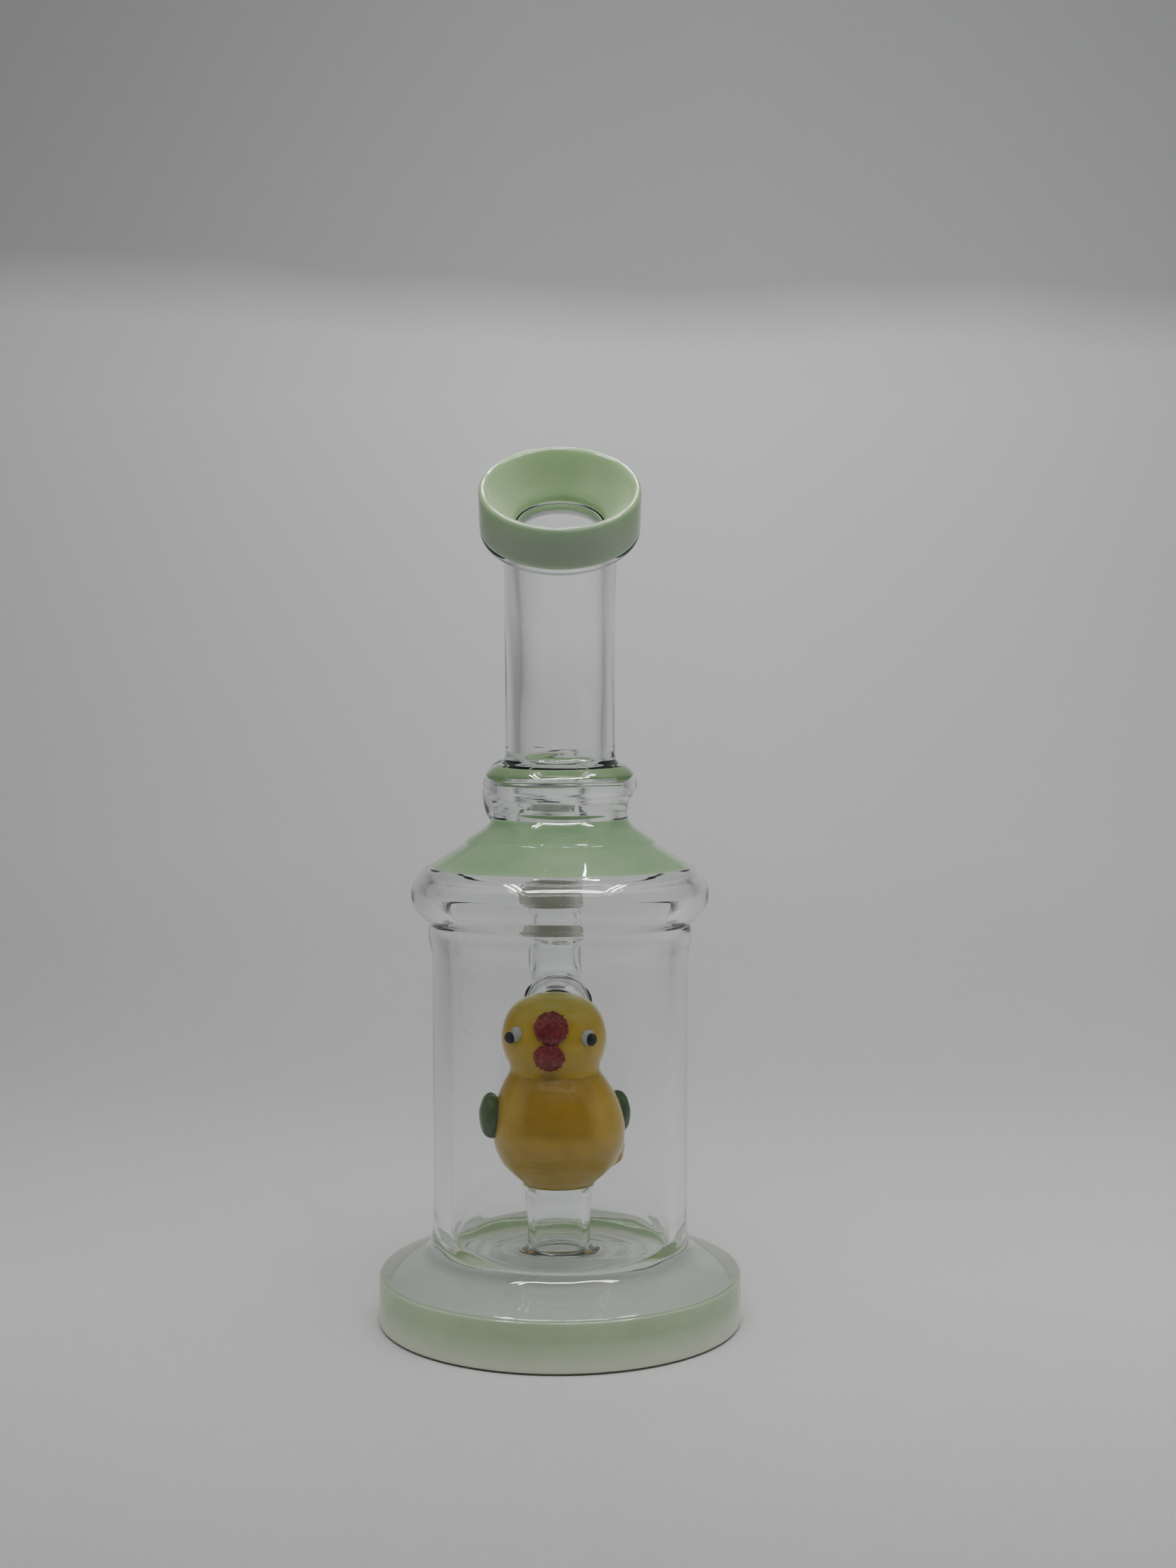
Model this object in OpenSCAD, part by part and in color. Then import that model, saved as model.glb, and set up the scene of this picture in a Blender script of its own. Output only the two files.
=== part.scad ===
// Small blown-glass water pipe with a bird-shaped percolator inside its can.
// Millimetres. +Z up, origin at the centre of the flat underside.
// The mouthpiece leans towards -Y, the ground joint and its bowl stand at +Y.

/* [Foot] */
// Radius of the foot at its green band
foot_r = 45; // [43:0.5:48]
// Height of the flat chamber floor above the underside
floor_z = 17; // [16:0.1:17]
// Thickness of the green band fused round the foot
band_t = 3; // [2:0.1:4]
// Height of the band's lower edge
band_lo = 1.6; // [1.2:0.1:2.5]
// Height of the band's upper edge
band_hi = 12.5; // [11:0.1:12.6]

/* [Can] */
// Outer radius of the can's straight wall
can_r = 31.6; // [31:0.1:31.8]
// Inner radius of the can
can_ri = 27.3; // [27:0.1:27.6]
// Height of the weld between the can and its collar
can_top = 99.5; // [98.5:0.1:100]
// Largest radius of the rolled collar
collar_r = 36.8; // [36:0.1:37]
// Height of the collar's upper edge, where the green shoulder starts
cone_lo = 113.5; // [113:0.1:114]
// Height of the shoulder's upper edge
cone_hi = 121.2; // [121:0.1:121.5]

/* [Neck] */
// Outer radius of the neck tube
neck_r = 13.55; // [13.2:0.05:13.8]
// Inner radius of the neck tube
neck_ri = 10.1; // [9.5:0.05:10.5]
// Height of the neck tube's lower end
neck_lo = 127; // [127:0.1:127]
// Height at which the neck starts to bend
bend_z = 155; // [150:0.5:158]
// Centreline radius of the bend
bend_r = 40; // [36:0.5:45]
// Angle of the bend from upright
bend_a = 36.4; // [30:0.1:40]
// Length of the straight stretch after the bend, up to the rim
lean_len = 30.7; // [28:0.1:34]
// Largest radius of the clear ring at the foot of the neck
ring_r = 19; // [18.6:0.1:19.4]
// Outer radius of the green accent inside the ring
accent_r = 16.3; // [15.5:0.1:16.6]

/* [Mouthpiece] */
// Outer radius of the mouthpiece
mouth_r = 19; // [18.8:0.1:19.4]
// Inner radius at the rim
mouth_ri = 16.3; // [16:0.1:16.4]
// Depth of the mouthpiece along its axis
mouth_h = 12; // [12:0.1:12.4]

/* [Percolator] */
// Offset of the percolator's body and stem from the can's axis
perc_x = -0.35; // [-0.6:0.05:0]
// Offset of the head from the can's axis
head_x = -1.5; // [-1.6:0.05:-1.2]
// Outer radius of the clear stem
stem_r = 8.1; // [7.7:0.1:8.4]
// Inner radius of the clear stem
stem_ri = 5.9; // [5.7:0.1:6.1]
// Height of the body's lower seam
body_lo = 33.2; // [33:0.1:33.4]
// Height of the waist between the body and the head
waist_z = 62.8; // [62.7:0.05:62.9]
// Wall thickness of the body and the head
shell_t = 2.2; // [1.8:0.1:2.4]

/* [Inlet and ground joint] */
// Height of the inlet tube's axis
inlet_z = 74.6; // [74.4:0.1:74.8]
// Sideways offset of the inlet tube's axis
inlet_x = -0.8; // [-1:0.1:-0.6]
// Outer radius of the inlet tube and elbow
inlet_r = 8; // [7.8:0.05:8]
// Inner radius of the inlet tube and elbow
inlet_ri = 5.95; // [5.95:0.05:6]
// Distance of the joint's axis behind the can's axis
joint_y = 48; // [48:0.5:50]
// Sideways lean of the joint
joint_lean = 4; // [0:0.5:5]
// Outer radius of the ground socket
socket_r = 9.3; // [9.2:0.05:9.5]
// Distance of the socket's mouth above the elbow's axis
socket_top = 43.4; // [43:0.1:43.6]
// Radius of the socket at its mouth
taper_r = 7.25; // [7.25:0.01:7.25]
// Radial clearance of the seated bowl stem
taper_gap = 0.05; // [0.03:0.01:0.08]
// Outer radius of the bowl
bowl_r = 16.3; // [16:0.1:16.6]

/* [Hidden] */
$fn = 96;

CLEAR = [0.84, 0.88, 0.86, 0.35];
MILKY = [0.62, 0.80, 0.60];
YELLOW = [0.80, 0.66, 0.22];
AMBER = [0.74, 0.55, 0.18];
RED = [0.62, 0.12, 0.14];
LEAF = [0.20, 0.45, 0.16];
taper = 0.05;                       // radius change per mm of a 1 in 10 ground joint
spout = [0, -sin(bend_a), cos(bend_a)];
bend_end = [0, -bend_r + bend_r * cos(bend_a), bend_z + bend_r * sin(bend_a)];
rim = bend_end + lean_len * spout;

// Catmull-Rom curve through a few hand-set points, n steps to a span
function cr(a, b, c, d, t) =
    0.5 * (2 * b + (c - a) * t + (2 * a - 5 * b + 4 * c - d) * t * t
           + (3 * b - a - 3 * c + d) * t * t * t);
function smooth(p, n = 4) =
    let (m = len(p) - 1)
    concat([for (i = [0 : m - 1]) for (k = [0 : n - 1])
        cr(p[max(i - 1, 0)], p[i], p[i + 1], p[min(i + 2, m)], k / n)], [p[m]]);

module ring(ro, ri, h) difference() {
    cylinder(r = ro, h = h);
    translate([0, 0, -1]) cylinder(r = ri, h = h + 2);
}
// Local frame of the mouthpiece: origin at the rim's centre, +Z out of the mouth
module at_rim() translate(rim) rotate([bend_a, 0, 0]) children();
// Local frame of the inlet and joint: origin on the elbow's corner
module at_inlet() translate([inlet_x, 0, inlet_z]) children();
module at_joint() translate([inlet_x, joint_y, inlet_z]) rotate([0, -joint_lean, 0]) children();
// A tool along +Y
module along_y(y0, y1, r) translate([0, y0, 0]) rotate([-90, 0, 0]) cylinder(r = r, h = y1 - y0);

// ---- foot ----
module foot_disc() color(CLEAR) rotate_extrude() polygon(concat(
    [[0, 0], [foot_r - 1, 0], [foot_r - 0.3, 0.4], [foot_r, 1.1], [foot_r, band_lo],
     [foot_r - band_t, band_lo], [foot_r - band_t, band_hi], [foot_r - 0.35, band_hi]],
    smooth([[foot_r - 0.3, band_hi + 0.3], [foot_r - 1.2, band_hi + 1.3], [foot_r - 4, band_hi + 2.6],
            [foot_r - 7, band_hi + 3.6], [35.2, floor_z]], 3),
    [[0, floor_z]]));
module foot_band() color(MILKY) rotate_extrude() polygon(
    [[foot_r - band_t, band_lo], [foot_r, band_lo], [foot_r, band_hi - 0.8],
     [foot_r - 0.35, band_hi], [foot_r - band_t, band_hi]]);

// ---- can ----
module can_wall() rotate_extrude() polygon(concat(
    smooth([[35, floor_z], [33.4, floor_z + 0.8], [32.4, floor_z + 2], [can_r + 0.2, floor_z + 4.5], [can_r, floor_z + 8]], 3),
    smooth([[can_r, 88], [can_r + 0.25, 92], [can_r + 0.75, 95.5], [can_r + 0.8, 98], [can_r + 0.5, can_top]], 3),
    smooth([[can_ri + 0.6, can_top], [can_ri + 0.5, 96], [can_ri, 90]], 3),
    smooth([[can_ri, floor_z + 4], [can_ri - 0.3, floor_z + 1.5], [can_ri - 1.2, floor_z]], 3)));
module can_tube() color(CLEAR) difference() {
    can_wall();
    at_inlet() along_y(20, 40, inlet_r);
}
module collar_roll() color(CLEAR) rotate_extrude() polygon(concat(
    smooth([[can_r + 0.5, can_top], [can_r + 1.6, can_top + 0.7], [35.5, 102.5], [collar_r - 0.2, 105],
            [collar_r, 107.1], [collar_r - 0.5, 109.3], [35, 111.7], [32.7, cone_lo]], 4),
    smooth([[29, cone_lo], [31.2, 111.4], [32.4, 108.6], [32.5, 105.6], [31.2, 102.6], [29.2, 100.6], [can_ri + 0.6, can_top]], 4)));
module shoulder_cone() color(MILKY) rotate_extrude() polygon(
    [[32.7, cone_lo], [29.5, 115.45], [26.5, 117.25], [23.6, 119.05], [21.1, 120.65], [20.2, cone_hi],
     [17.2, cone_hi], [17.6, 120.2], [23.2, 116.9], [29, cone_lo]]);

// ---- neck ----
module neck_waist() color(CLEAR) rotate_extrude() polygon(concat(
    smooth([[20.2, cone_hi], [18.6, 122.3], [17.2, 123.7], [16.3, 125.3], [16.2, neck_lo]], 3),
    smooth([[neck_ri, neck_lo], [11.4, 125], [14, 123], [17.2, cone_hi]], 3)));
module neck_ring() color(CLEAR) rotate_extrude() polygon(concat(
    [[neck_r, neck_lo]],
    smooth([[16.2, neck_lo], [16.7, 127.9], [16.9, 129.3], [17.9, 130.6], [18.7, 132], [ring_r, 133.8],
            [ring_r - 0.4, 135.6], [ring_r - 1.6, 137.2], [ring_r - 3.4, 138.3], [neck_r, 138.8]], 3),
    [[neck_r, 137.4], [accent_r - 0.8, 137.4], [accent_r, 136.6], [accent_r, 134.6], [accent_r - 0.6, 134], [neck_r, 134]]));
module ring_accent() color(MILKY) rotate_extrude() polygon(
    [[neck_r, 134], [accent_r - 0.6, 134], [accent_r, 134.6], [accent_r, 136.6], [accent_r - 0.8, 137.4], [neck_r, 137.4]]);
module neck_section() difference() { circle(r = neck_r); circle(r = neck_ri); }
module neck_tube() color(CLEAR) {
    translate([0, 0, neck_lo]) linear_extrude(height = bend_z - neck_lo) neck_section();
    translate([0, -bend_r, bend_z]) rotate([90, 0, 90]) rotate_extrude(angle = bend_a)
        translate([bend_r, 0]) neck_section();
    translate(bend_end) rotate([bend_a, 0, 0]) linear_extrude(height = lean_len - mouth_h) neck_section();
}

// ---- mouthpiece ----
module mouthpiece_cup() color(CLEAR) at_rim() rotate_extrude() polygon(concat(
    [[neck_ri, -mouth_h], [16.6, -mouth_h], [17.7, -mouth_h + 0.3], [mouth_r - 0.5, -mouth_h + 1.2],
     [17, -mouth_h + 1.2], [17, -4]],
    smooth([[mouth_ri, -2.2], [15.7, -4.2], [14.3, -6.3], [12, -8.2], [neck_ri, -9.6]], 4)));
module mouthpiece_band() color(MILKY) at_rim() rotate_extrude() polygon(concat(
    [[17, -mouth_h + 1.2], [mouth_r - 0.5, -mouth_h + 1.2], [mouth_r, -mouth_h + 2.2]],
    smooth([[mouth_r, -1.5], [mouth_r - 0.35, -0.55], [17.65, 0], [mouth_ri + 0.3, -0.5], [mouth_ri, -1.4], [mouth_ri, -2.2]], 3),
    [[17, -4]]));

// ---- percolator ----
body_pts = smooth([[8.9, body_lo], [9.7, 34.6], [11.8, 37], [14.6, 40.6], [16.2, 44.6], [16.5, 48], [16, 52],
                   [14.8, 56.2], [13, 60], [11.4, waist_z]], 3);
head_pts = smooth([[11.4, waist_z], [11.9, 64.6], [13, 67.2], [13.5, 70.4], [13.1, 73.6], [11.9, 76.8],
                   [9.7, 79.4], [6.5, 81.1], [3.2, 81.8], [0, 82]], 4);
module body_solid() translate([perc_x, 0, 0]) rotate_extrude()
    polygon(concat([[0, body_lo]], body_pts, [[0, waist_z]]));
module head_solid() translate([head_x, 0, 0]) rotate_extrude()
    polygon(concat([[0, waist_z]], head_pts));
module bird_body() color(AMBER) translate([perc_x, 0, 0]) rotate_extrude() polygon(concat(
    body_pts,
    smooth([[11.4 - shell_t, waist_z], [13.7 - shell_t, 58.4], [15.7 - shell_t, 53], [16.4 - shell_t, 48],
            [15.4 - shell_t, 42.6], [13 - shell_t, 38.6], [stem_ri + 0.4, 35.6], [stem_ri, body_lo]], 2)));
module bird_head() color(YELLOW) difference() {
    translate([head_x, 0, 0]) rotate_extrude() polygon(concat(
        head_pts,
        smooth([[0, 82 - shell_t], [3.4, 81.5 - shell_t], [7.5, 78], [10, 75.2], [13.3 - shell_t, 71.4],
                [13 - shell_t, 67.4], [11.4 - shell_t, waist_z]], 4)));
    at_inlet() along_y(2, 20, inlet_ri);
}
module stem_tube() color(CLEAR) translate([perc_x, 0, 0]) difference() {
    translate([0, 0, floor_z + 1.3]) ring(stem_r, stem_ri, body_lo - floor_z - 1.3);
    for (a = [5, 62, 118, 175]) rotate([0, 0, a])
        translate([stem_ri - 1, -0.6, floor_z + 1.2]) cube([4, 1.2, 4.2]);
}
module stem_foot() color(CLEAR) translate([perc_x, 0, 0]) rotate_extrude() polygon(
    [[stem_ri, floor_z], [9.9, floor_z], [10.3, floor_z + 0.35], [10.2, floor_z + 0.8], [9.4, floor_z + 1.1],
     [stem_r, floor_z + 1.3], [stem_ri, floor_z + 1.3]]);

// A bead: half-round blob on a short post, along the outward normal +Z
module bead(r, rise, post) rotate_extrude() polygon(concat(
    [[0, -post], [r, -post]], smooth([[r, rise * 0.25], [r * 0.9, rise * 0.65], [r * 0.55, rise * 0.93], [0, rise]], 4)));
// Stands a bead on the bird: azimuth from -Y towards +X, and elevation
module on_bird(cx, cz, d, az, el) translate([cx, 0, cz]) rotate([0, 0, az]) rotate([90 - el, 0, 0])
    translate([0, 0, d]) children();
module beak_upper() color(RED) difference() {
    on_bird(head_x, 70.4, 12.9, -3, 22) bead(4.2, 2.2, 2);
    head_solid();
}
module beak_lower() color(RED) difference() {
    on_bird(head_x, 70.4, 12.9, -5, -12) bead(3.5, 2, 2);
    head_solid();
    on_bird(head_x, 70.4, 12.9, -3, 22) bead(4.2, 2.2, 2);
}
module white_left_tool() on_bird(head_x, 70.4, 12.9, -48, 11) sphere(r = 1.85);
module white_right_tool() on_bird(head_x, 70.4, 12.9, 43, 9) sphere(r = 1.95);
module eye_white_left() color("white") difference() { white_left_tool(); head_solid(); }
module eye_white_right() color("white") difference() { white_right_tool(); head_solid(); }
module pupil_left() color([0.05, 0.06, 0.06]) difference() {
    on_bird(head_x, 70.4, 14.15, -52, 8) sphere(r = 1.4);
    white_left_tool(); head_solid();
}
module pupil_right() color([0.05, 0.06, 0.06]) difference() {
    on_bird(head_x, 70.4, 14.1, 44.5, 6) sphere(r = 1.45);
    white_right_tool(); head_solid();
}
// Lens of glass stuck on the body's side
module lens(r, h) rotate_extrude() polygon(concat([[0, -h]],
    [for (t = [-80 : 10 : 80]) [r * cos(t), h * sin(t)]], [[0, h]]));
module wing_left() color(LEAF) difference() {
    on_bird(perc_x, 50.6, 17.2, -84, 0) lens(5.6, 3.3);
    body_solid();
}
module wing_right() color(LEAF) difference() {
    on_bird(perc_x, 51, 17.2, 115, 0) lens(5.6, 3.3);
    body_solid();
}
module tail_nub() color(AMBER) difference() {
    on_bird(perc_x, 42, 16.4, 138, -4) lens(4.6, 6);
    body_solid();
}

// ---- inlet, ground joint ----
module inlet_tube() color(CLEAR) difference() {
    at_inlet() difference() {
        along_y(1, 35, inlet_r);
        along_y(0, 36, inlet_ri);
    }
    head_solid();
}
module inlet_weld() color(CLEAR) difference() {
    at_inlet() translate([0, 24.3, 0]) rotate([-90, 0, 0]) rotate_extrude() polygon(
        [[inlet_r, 0], [inlet_r + 0.7, 0.2], [inlet_r + 1.6, 1.3], [inlet_r + 1.8, 3], [inlet_r + 1.8, 8],
         [inlet_r + 1.3, 9.3], [inlet_r + 0.5, 10.1], [inlet_r, 10.2]]);
    rotate_extrude() polygon([[can_ri, 60], [can_r, 60], [can_r, 88], [can_ri, 88]]);
}
module tube_y(y0, y1) translate([0, y0, 0]) rotate([-90, 0, 0]) ring_c(y1 - y0);
module ring_c(h) linear_extrude(height = h) difference() { circle(r = inlet_r); circle(r = inlet_ri); }
module joint_elbow() color(CLEAR) {
    at_joint() tube_y(35 - joint_y, -10);
    at_joint() translate([0, -10, 10]) rotate([0, 90, 0]) rotate_extrude(angle = 90)
        translate([10, 0]) difference() { circle(r = inlet_r); circle(r = inlet_ri); }
    at_joint() translate([0, 0, 10]) ring_c(6);
}
module joint_socket() color([0.8, 0.82, 0.8, 0.6]) at_joint() rotate_extrude() polygon(concat(
    [[inlet_ri, 16], [inlet_r, 16]],
    smooth([[inlet_r, 16.3], [inlet_r + 0.5, 17.2], [socket_r - 0.15, 18.4], [socket_r, 19.6]], 3),
    [[socket_r, socket_top - 0.8], [socket_r - 0.4, socket_top - 0.1], [socket_r - 0.8, socket_top],
     [taper_r, socket_top], [inlet_ri, socket_top - (taper_r - inlet_ri) / taper]]));

// ---- lift-out bowl ----
male_lo = 12.8;
male_hi = socket_top + 0.6;
function male_r(s) = taper_r - taper_gap - (socket_top - s) * taper;
module bowl_stem() color([0.8, 0.82, 0.8, 0.6]) at_joint() rotate_extrude() polygon(
    [[4.2, male_lo], [male_r(male_lo), male_lo], [male_r(socket_top), socket_top], [male_r(socket_top), male_hi],
     [8.6, 45.4], [4.2, 45.4]]);
module bowl_cup() color(CLEAR) at_joint() rotate_extrude() polygon(concat(
    smooth([[8.6, 45.4], [12.8, 46.3], [15.1, 48.4], [bowl_r - 0.2, 51.6], [bowl_r, 55], [bowl_r - 0.4, 58.4],
            [14.9, 61.2], [13.2, 63.2], [11.6, 64.2], [10.4, 64.5], [9.6, 64.1], [9.4, 63.3], [10.8, 61.7],
            [12.4, 59.4], [13.2, 56.4], [12.9, 53], [11.2, 50.2], [8, 48.5], [4, 48]], 3),
    [[2.2, 48], [2.2, 45.4]]));

foot_disc();
foot_band();
can_tube();
collar_roll();
shoulder_cone();
neck_waist();
neck_ring();
ring_accent();
neck_tube();
mouthpiece_cup();
mouthpiece_band();
stem_tube();
stem_foot();
bird_body();
bird_head();
beak_upper();
beak_lower();
eye_white_left();
eye_white_right();
pupil_left();
pupil_right();
wing_left();
wing_right();
tail_nub();
inlet_tube();
inlet_weld();
joint_elbow();
joint_socket();
bowl_cup();
bowl_stem();
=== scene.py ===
import math

import bmesh
import bpy
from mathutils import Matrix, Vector, noise


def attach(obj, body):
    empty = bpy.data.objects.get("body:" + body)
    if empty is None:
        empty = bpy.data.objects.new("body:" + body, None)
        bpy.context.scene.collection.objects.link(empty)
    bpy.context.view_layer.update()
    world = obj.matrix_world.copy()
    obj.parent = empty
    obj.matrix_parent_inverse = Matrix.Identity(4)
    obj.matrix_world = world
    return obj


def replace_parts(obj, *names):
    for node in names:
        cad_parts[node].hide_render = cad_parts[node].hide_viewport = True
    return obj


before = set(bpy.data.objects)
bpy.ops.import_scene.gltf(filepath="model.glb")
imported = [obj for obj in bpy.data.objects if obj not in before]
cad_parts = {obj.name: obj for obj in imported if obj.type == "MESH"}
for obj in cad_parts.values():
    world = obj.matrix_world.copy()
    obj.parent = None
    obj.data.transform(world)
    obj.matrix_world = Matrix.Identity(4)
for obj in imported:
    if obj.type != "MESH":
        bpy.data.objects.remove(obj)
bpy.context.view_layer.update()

MM = 0.001
TAU = 2 * math.pi

# ---------------------------------------------------------------- camera
cam_data = bpy.data.cameras.new("camera")
cam = bpy.data.objects.new("camera", cam_data)
bpy.context.scene.collection.objects.link(cam)
cam_data.sensor_width = 36.0
cam_data.lens = 2930 / 2212 * 36.0
cam_data.clip_start, cam_data.clip_end = 0.01, 20.0
cam.location = (0.0, -0.513, 0.157)
pitch, yaw = math.radians(2.61), math.radians(0.77)
look = Vector((math.sin(yaw) * math.cos(pitch), math.cos(yaw) * math.cos(pitch), -math.sin(pitch)))
cam.rotation_mode = "QUATERNION"
cam.rotation_quaternion = look.to_track_quat("-Z", "Y")
bpy.context.scene.camera = cam

# ---------------------------------------------------------------- curves and solids
def spl(p, n=6):
    """Catmull-Rom curve through 2D points."""
    m, out = len(p) - 1, []
    for i in range(m):
        a, b, c, d = p[max(i - 1, 0)], p[i], p[i + 1], p[min(i + 2, m)]
        for k in range(n):
            t = k / n
            out.append(tuple(0.5 * (2 * b[j] + (c[j] - a[j]) * t + (2 * a[j] - 5 * b[j] + 4 * c[j] - d[j]) * t * t
                                    + (3 * b[j] - a[j] - 3 * c[j] + d[j]) * t ** 3) for j in (0, 1)))
    return out + [tuple(p[m])]


def line(a, b, n=8):
    return [(a[0] + (b[0] - a[0]) * k / n, a[1] + (b[1] - a[1]) * k / n) for k in range(n + 1)]


def join(*runs):
    """One closed profile from runs of points. Each place where two runs meet is a crisp edge."""
    pts, sharp = [], set()
    for run in runs:
        run = list(run)
        if pts and math.dist(pts[-1], run[0]) < 1e-6:
            run = run[1:]
            sharp.add(len(pts) - 1)
        elif pts:
            sharp.update((len(pts) - 1, len(pts)))
        pts += run
    if math.dist(pts[0], pts[-1]) < 1e-6:
        pts.pop()
        sharp.add(0)
    else:
        sharp.update((0, len(pts) - 1))
    return pts, sharp


def smooth_window(x, lo, hi, soft):
    def s(t):
        t = min(max(t, 0.0), 1.0)
        return t * t * (3 - 2 * t)
    return s((x - lo) / soft) * s((hi - x) / soft)


def waver(seed, amount, turns=(2, 3, 5), pitch_mm=22.0):
    """The slight unevenness of hand-turned glass, in mm: the same at every run."""
    def f(r, s, th):
        v = 0.0
        for k, t in enumerate(turns):
            v += math.cos(t * th + seed * (1.7 + k) + s / pitch_mm * (1 + 0.6 * k)) / (k + 1)
        return amount * v / 1.8
    return f


def about_z(cx=0.0, cy=0.0):
    return lambda r, s, th: Vector(((cx + r * math.cos(th)) * MM, (cy + r * math.sin(th)) * MM, s * MM))


def finish_mesh(bm, name, body, material):
    bmesh.ops.recalc_face_normals(bm, faces=bm.faces)
    for f in bm.faces:
        f.smooth = True
    mesh = bpy.data.meshes.new(name)
    bm.to_mesh(mesh)
    bm.free()
    ob = bpy.data.objects.new(name, mesh)
    bpy.context.scene.collection.objects.link(ob)
    mesh.materials.append(material)
    if body:
        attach(ob, body)
    return ob


def revolve(name, prof, place, body, material, seg=192, wob=None):
    pts, sharp = prof
    bm, rings = bmesh.new(), []
    for r, s in pts:
        if r < 1e-4:
            rings.append([bm.verts.new(place(0.0, s, 0.0))])
        else:
            rings.append([bm.verts.new(place(r + (wob(r, s, TAU * k / seg) if wob else 0.0), s, TAU * k / seg))
                          for k in range(seg)])
    n = len(rings)
    for i in range(n):
        a, b = rings[i], rings[(i + 1) % n]
        if len(a) == 1 and len(b) == 1:
            continue
        for k in range(seg):
            j = (k + 1) % seg
            if len(a) == 1:
                bm.faces.new((a[0], b[k], b[j]))
            elif len(b) == 1:
                bm.faces.new((a[k], a[j], b[0]))
            else:
                bm.faces.new((a[k], a[j], b[j], b[k]))
    for i in sharp:
        ring = rings[i]
        if len(ring) > 1:
            for k in range(seg):
                e = bm.edges.get((ring[k], ring[(k + 1) % seg]))
                if e:
                    e.smooth = False
    return finish_mesh(bm, name, body, material)


def blob(name, centre, normal, size, body, material, up=(0, 0, 1), rough=0.0, freq=0.5, seed=0.0, square=1.0, cut=6):
    """A bead of glass: semi-axes size = (across, up, out) in mm, on a surface with that outward normal."""
    n = Vector(normal).normalized()
    u = Vector(up).cross(n).normalized()
    v = n.cross(u).normalized()
    bm = bmesh.new()
    bmesh.ops.create_icosphere(bm, subdivisions=cut, radius=1.0)
    c = Vector(centre)
    for vert in bm.verts:
        x, y, z = vert.co
        if square != 1.0:
            rad = min(math.hypot(x, y), 1.0)
            k = 1.0 if rad < 1e-6 else (1 - (1 - rad) ** square) / rad
            x, y = x * k, y * k
        d = 1.0 + rough * noise.noise(Vector((x, y, z)) * freq * 4 + Vector((seed, 0, 0)))
        edge = math.hypot(x, y)
        d2 = 1.0 + rough * edge * noise.noise(Vector((math.atan2(y, x) * 3.1, seed * 3, z)) * freq * 2)
        vert.co = (c + u * size[0] * x * d * d2 + v * size[1] * y * d * d2 + n * size[2] * z * d) * MM
    return finish_mesh(bm, name, body, material)


# ---------------------------------------------------------------- materials
def new_mat(name):
    m = bpy.data.materials.new(name)
    m.use_nodes = True
    m.node_tree.nodes.clear()
    return m, m.node_tree


def node(nt, kind, **sets):
    n = nt.nodes.new(kind)
    for k, v in sets.items():
        if k.startswith("i_"):
            n.inputs[k[2:].replace("_", " ")].default_value = v
        else:
            setattr(n, k, v)
    return n


def obj_coord(nt):
    return node(nt, "ShaderNodeTexCoord").outputs["Object"]


def noise_tex(nt, vec, scale, detail=2.0, rough=0.5, distort=0.0):
    n = node(nt, "ShaderNodeTexNoise")
    n.inputs["Scale"].default_value = scale
    n.inputs["Detail"].default_value = detail
    n.inputs["Roughness"].default_value = rough
    n.inputs["Distortion"].default_value = distort
    nt.links.new(vec, n.inputs["Vector"])
    return n.outputs["Fac"]


def stretch(nt, vec, scale):
    m = node(nt, "ShaderNodeMapping")
    m.inputs["Scale"].default_value = scale
    nt.links.new(vec, m.inputs["Vector"])
    return m.outputs["Vector"]


def map_range(nt, value, a, b, c, d):
    m = node(nt, "ShaderNodeMapRange")
    m.clamp = True
    for k, v in zip(("From Min", "From Max", "To Min", "To Max"), (a, b, c, d)):
        m.inputs[k].default_value = v
    nt.links.new(value, m.inputs["Value"])
    return m.outputs["Result"]


def mix_col(nt, fac, a, b, blend="MIX"):
    m = node(nt, "ShaderNodeMix", data_type="RGBA", blend_type=blend)
    for sock, v in ((m.inputs[6], a), (m.inputs[7], b)):
        if isinstance(v, tuple):
            sock.default_value = (*v, 1.0)
        else:
            nt.links.new(v, sock)
    if isinstance(fac, (int, float)):
        m.inputs[0].default_value = fac
    else:
        nt.links.new(fac, m.inputs[0])
    return m.outputs[2]


def math_node(nt, op, a, b=None):
    m = node(nt, "ShaderNodeMath", operation=op)
    for i, v in enumerate((a, b)):
        if v is None:
            continue
        if isinstance(v, (int, float)):
            m.inputs[i].default_value = v
        else:
            nt.links.new(v, m.inputs[i])
    return m.outputs[0]


def bump(nt, height, strength, distance, normal=None):
    b = node(nt, "ShaderNodeBump")
    b.inputs["Strength"].default_value = strength
    b.inputs["Distance"].default_value = distance
    nt.links.new(height, b.inputs["Height"])
    if normal is not None:
        nt.links.new(normal, b.inputs["Normal"])
    return b.outputs["Normal"]


def let_light_in(nt, shader, tint):
    """Light from lamps and from matt surfaces goes straight through the wall; what is seen still bends."""
    path = node(nt, "ShaderNodeLightPath")
    clear = node(nt, "ShaderNodeBsdfTransparent")
    if isinstance(tint, tuple):
        clear.inputs["Color"].default_value = (*tint, 1.0)
    else:
        nt.links.new(tint, clear.inputs["Color"])
    last = shader
    for ray in ("Is Shadow Ray", "Is Diffuse Ray"):
        m = node(nt, "ShaderNodeMixShader")
        nt.links.new(path.outputs[ray], m.inputs[0])
        nt.links.new(last, m.inputs[1])
        nt.links.new(clear.outputs[0], m.inputs[2])
        last = m.outputs[0]
    return last


def out(nt, shader):
    o = node(nt, "ShaderNodeOutputMaterial")
    nt.links.new(shader, o.inputs["Surface"])


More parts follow.
